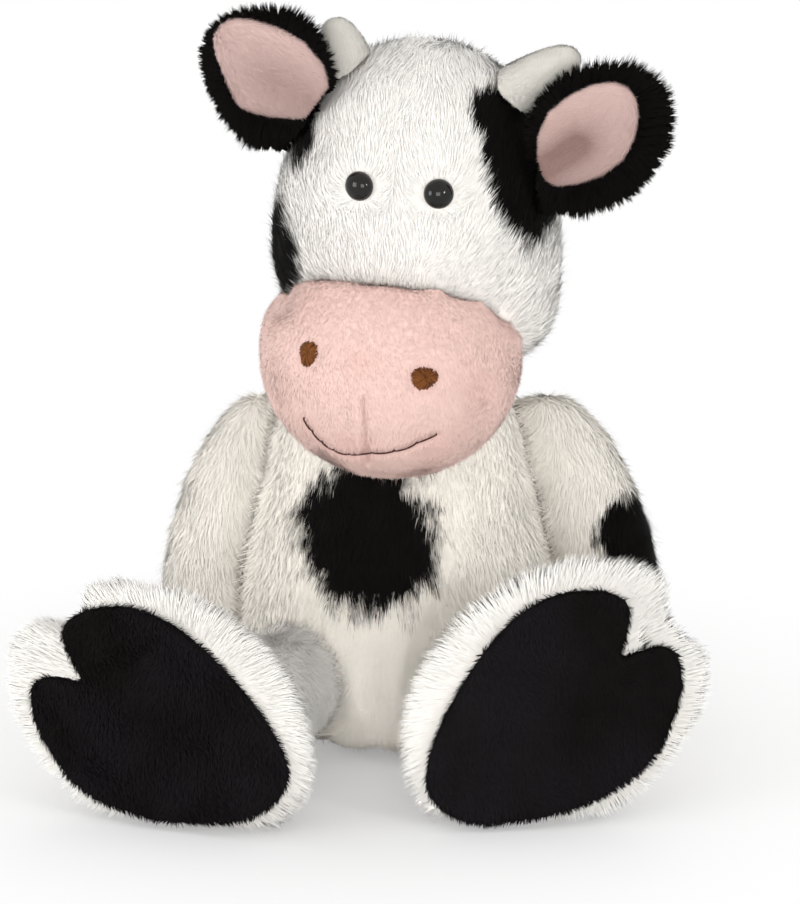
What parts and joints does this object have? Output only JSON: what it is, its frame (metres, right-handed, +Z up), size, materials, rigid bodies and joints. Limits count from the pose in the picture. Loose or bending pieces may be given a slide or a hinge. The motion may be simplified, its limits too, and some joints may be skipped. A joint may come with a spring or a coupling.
{
  "type": "plush cow",
  "caption": "Seated soft toy cow with a big head, puffed muzzle, short horns, lined ears, hanging arms, broad cloven soles and a tufted tail.",
  "frame": {"origin": "middle of the bounding box's underside, on the surface the toy sits on", "axes": "+Z up, -Y the way the chest faces, +X the toy's own left"},
  "size_m": [0.2292, 0.2494, 0.2569],
  "materials": {
    "white pile": "long soft pile",
    "black pile": "soft pile",
    "pink pile": "short soft pile",
    "horn felt": "short brushed pile",
    "stuffing": "loose fibre",
    "pellet cloth": "plain weave",
    "black plastic": "polished",
    "washer plastic": "satin",
    "brown thread": "satin stitch",
    "dark thread": "running stitch"
  },
  "bodies": {
    "torso": {"torso_cover": "white pile", "pellet_pouch": "pellet cloth", "torso_stuffing": "stuffing"},
    "head": {"head_cover": "white pile", "head_stuffing": "stuffing", "muzzle_cover": "pink pile", "muzzle_stuffing": "stuffing", "mouth_stitching": "dark thread", "nostril_left": "brown thread", "eye_left": "black plastic", "eye_washer_left": "washer plastic", "horn_cover_left": "horn felt", "horn_stuffing_left": "stuffing", "nostril_right": "brown thread", "eye_right": "black plastic", "eye_washer_right": "washer plastic", "horn_cover_right": "horn felt", "horn_stuffing_right": "stuffing"},
    "tail": {"tail_cord": "white pile", "tail_tuft": "black pile"},
    "ear_left": {"ear_back_left": "black pile", "ear_lining_left": "pink pile"},
    "arm_left": {"arm_cover_left": "white pile", "arm_stuffing_left": "stuffing"},
    "leg_left": {"leg_cover_left": "white pile", "leg_stuffing_left": "stuffing", "sole_pad_left": "black pile"},
    "ear_right": {"ear_back_right": "black pile", "ear_lining_right": "pink pile"},
    "arm_right": {"arm_cover_right": "white pile", "arm_stuffing_right": "stuffing"},
    "leg_right": {"leg_cover_right": "white pile", "leg_stuffing_right": "stuffing", "sole_pad_right": "black pile"}
  },
  "joints": [
    {"name": "head_turn", "type": "hinge", "parent": "torso", "child": "head", "pos_m": [0.01309, 0.00521, 0.13214], "axis": [0, -0.5, 0.866], "range_deg": [-25, 25], "stiffness_Nm_per_rad": 0.4},
    {"name": "ear_left_flap", "type": "hinge", "parent": "head", "child": "ear_left", "pos_m": [0.06611, -0.03947, 0.20162], "axis": [0.8268, 0.1547, -0.5407], "range_deg": [-5, 15], "stiffness_Nm_per_rad": 0.02},
    {"name": "arm_left_swing", "type": "hinge", "parent": "torso", "child": "arm_left", "pos_m": [0.05852, 0.01519, 0.09839], "axis": [-0.9703, 0, -0.2419], "range_deg": [-35, 45], "stiffness_Nm_per_rad": 0.05},
    {"name": "leg_left_lift", "type": "hinge", "parent": "torso", "child": "leg_left", "pos_m": [0.04707, -0.03281, 0.02499], "axis": [0.9942, 0.108, 0], "range_deg": [-15, 15], "stiffness_Nm_per_rad": 0.2},
    {"name": "ear_right_flap", "type": "hinge", "parent": "head", "child": "ear_right", "pos_m": [-0.0224, -0.02268, 0.22466], "axis": [0.7406, -0.4644, 0.4855], "range_deg": [-5, 15], "stiffness_Nm_per_rad": 0.02},
    {"name": "arm_right_swing", "type": "hinge", "parent": "torso", "child": "arm_right", "pos_m": [-0.03293, 0.01519, 0.09839], "axis": [-0.9816, 0, 0.1908], "range_deg": [-35, 18], "stiffness_Nm_per_rad": 0.05},
    {"name": "leg_right_lift", "type": "hinge", "parent": "torso", "child": "leg_right", "pos_m": [-0.02703, -0.03281, 0.02499], "axis": [0.9361, -0.3518, 0], "range_deg": [-15, 15], "stiffness_Nm_per_rad": 0.2},
    {"name": "tail_swing", "type": "hinge", "parent": "torso", "child": "tail", "pos_m": [0.01309, 0.07019, 0.04665], "axis": [0, 0, 1], "range_deg": [-25, 25], "stiffness_Nm_per_rad": 0.02}
  ]
}
